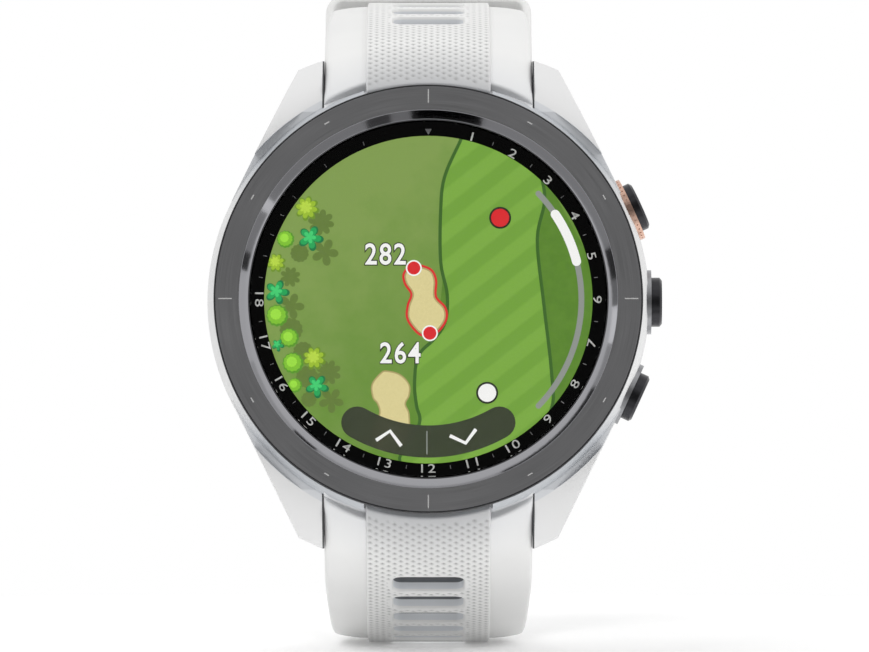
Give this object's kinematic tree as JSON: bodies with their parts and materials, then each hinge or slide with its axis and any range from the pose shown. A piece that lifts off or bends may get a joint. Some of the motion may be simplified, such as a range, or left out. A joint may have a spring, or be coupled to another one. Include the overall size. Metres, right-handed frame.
{
  "type": "golf gps watch",
  "caption": "Round golf GPS watch with a steel bezel, colour course display, side buttons and a vented silicone strap with a pin buckle.",
  "frame": {"origin": "centre of the flat case back, where it rests on the wrist", "axes": "+Y out of the case back towards the wrist, +Z towards 12 o'clock, +X towards 3 o'clock and the buttons"},
  "size_m": [0.0488, 0.0843, 0.0727],
  "materials": {
    "antenna_metal": "stamped",
    "battery_film": "foil pouch",
    "bezel_steel": "circular brushed, dark coated",
    "black_rubber": "smooth",
    "board": "solder mask",
    "buckle_steel": "brushed",
    "button_steel": "dark coated, brushed",
    "case_polymer": "fine matt moulding",
    "cover_polymer": "fine matt moulding",
    "display": "lit display",
    "flex_film": "polyimide film",
    "frame_magnesium": "cast",
    "glass": "polished",
    "gold": "plated",
    "guard_metal": "satin",
    "led": "encapsulated",
    "port_plastic": "moulded",
    "ring_print": "printed under the glass",
    "rose_gold": "satin",
    "screw_steel": "machined",
    "sensor_glass": "polished dark glass",
    "sensor_metal": "tinned",
    "shield_steel": "tinned",
    "silicone": "fine matt silicone",
    "switch_metal": "stamped",
    "tungsten": "sintered"
  },
  "bodies": {
    "watch": {"case_body": "case_polymer", "bezel": "bezel_steel", "bezel_gasket": "black_rubber", "rear_cover": "cover_polymer", "rear_gasket": "black_rubber", "rear_screws": "screw_steel", "lens": "glass", "chapter_ring": "ring_print", "lens_gasket": "black_rubber", "display_panel": "display", "display_flex": "flex_film", "inner_frame": "frame_magnesium", "antenna_ring": "antenna_metal", "main_board": "board", "processor_shield": "shield_steel", "gps_receiver": "shield_steel", "pressure_sensor": "sensor_metal", "battery": "battery_film", "motor_can": "shield_steel", "sensor_window": "sensor_glass", "sensor_board": "board", "sensor_leds": "led", "charge_port": "port_plastic", "charge_contacts": "gold", "button_flex": "flex_film", "button_switches": "switch_metal", "button_seals": "black_rubber", "start_collar": "rose_gold", "menu_guard": "guard_metal", "back_guard": "guard_metal"},
    "start_button": {"start_button": "button_steel", "start_clip": "screw_steel"},
    "menu_button": {"menu_button": "button_steel", "menu_clip": "screw_steel"},
    "back_button": {"back_button": "button_steel", "back_clip": "screw_steel"},
    "motor_rotor": {"motor_shaft": "screw_steel", "motor_weight": "tungsten"},
    "upper_near": {"upper_strap_near": "silicone", "upper_lug_pin": "screw_steel"},
    "upper_latch": {"upper_latch": "screw_steel"},
    "upper_far": {"upper_strap_far": "silicone", "fixed_keeper": "silicone", "buckle_bar": "screw_steel"},
    "free_keeper": {"free_keeper": "silicone"},
    "buckle_frame": {"buckle_frame": "buckle_steel"},
    "buckle_tongue": {"buckle_tongue": "buckle_steel"},
    "lower_near": {"lower_strap_near": "silicone", "lower_lug_pin": "screw_steel"},
    "lower_latch": {"lower_latch": "screw_steel"},
    "lower_middle": {"lower_strap_middle": "silicone"},
    "lower_tail": {"lower_strap_tail": "silicone"}
  },
  "joints": [
    {"name": "start_press", "type": "slide", "parent": "watch", "child": "start_button", "axis": [-0.9085, 0, -0.4179], "range_m": [0, 0.00045], "stiffness_N_per_m": 3000, "springref_m": -0.0003},
    {"name": "menu_press", "type": "slide", "parent": "watch", "child": "menu_button", "axis": [-1, 0, 0], "range_m": [0, 0.00045], "stiffness_N_per_m": 3000, "springref_m": -0.0003},
    {"name": "back_press", "type": "slide", "parent": "watch", "child": "back_button", "axis": [-0.9085, 0, 0.4179], "range_m": [0, 0.00045], "stiffness_N_per_m": 3000, "springref_m": -0.0003},
    {"name": "motor_spin", "type": "hinge", "parent": "watch", "child": "motor_rotor", "pos_m": [-0.0145, -0.0044, 0.005], "axis": [0, 0, 1], "continuous": true},
    {"name": "upper_lug_pivot", "type": "hinge", "parent": "watch", "child": "upper_near", "pos_m": [0, -0.004, 0.0245], "axis": [1, 0, 0], "range_deg": [-30, 2]},
    {"name": "upper_latch_pull", "type": "slide", "parent": "upper_near", "child": "upper_latch", "axis": [1, 0, 0], "range_m": [0, 0.0016], "stiffness_N_per_m": 300, "springref_m": -0.0015},
    {"name": "upper_strap_flex", "type": "hinge", "parent": "upper_near", "child": "upper_far", "pos_m": [0, 0.02571, 0.03352], "axis": [1, 0, 0], "range_deg": [-10, 25], "stiffness_Nm_per_rad": 0.06},
    {"name": "free_keeper_slide", "type": "hinge", "parent": "upper_far", "child": "free_keeper", "pos_m": [0, 0.02808, 0.01436], "axis": [-1, 0, 0], "range_deg": [-14, 19]},
    {"name": "buckle_swing", "type": "hinge", "parent": "upper_far", "child": "buckle_frame", "pos_m": [0, 0.04728, 0.01436], "axis": [1, 0, 0], "range_deg": [-20, 25]},
    {"name": "tongue_swing", "type": "hinge", "parent": "buckle_frame", "child": "buckle_tongue", "pos_m": [0, 0.04728, 0.01436], "axis": [1, 0, 0], "range_deg": [0, 60]},
    {"name": "lower_lug_pivot", "type": "hinge", "parent": "watch", "child": "lower_near", "pos_m": [0, -0.004, -0.0245], "axis": [-1, 0, 0], "range_deg": [-6, 2]},
    {"name": "lower_latch_pull", "type": "slide", "parent": "lower_near", "child": "lower_latch", "axis": [1, 0, 0], "range_m": [0, 0.0016], "stiffness_N_per_m": 300, "springref_m": -0.0015},
    {"name": "lower_strap_flex", "type": "hinge", "parent": "lower_near", "child": "lower_middle", "pos_m": [0, 0.0262, -0.03354], "axis": [-1, 0, 0], "range_deg": [-5, 25], "stiffness_Nm_per_rad": 0.06},
    {"name": "tail_flex", "type": "hinge", "parent": "lower_middle", "child": "lower_tail", "pos_m": [0, 0.05964, -0.01856], "axis": [-1, 0, 0], "range_deg": [-8, 25], "stiffness_Nm_per_rad": 0.06}
  ]
}
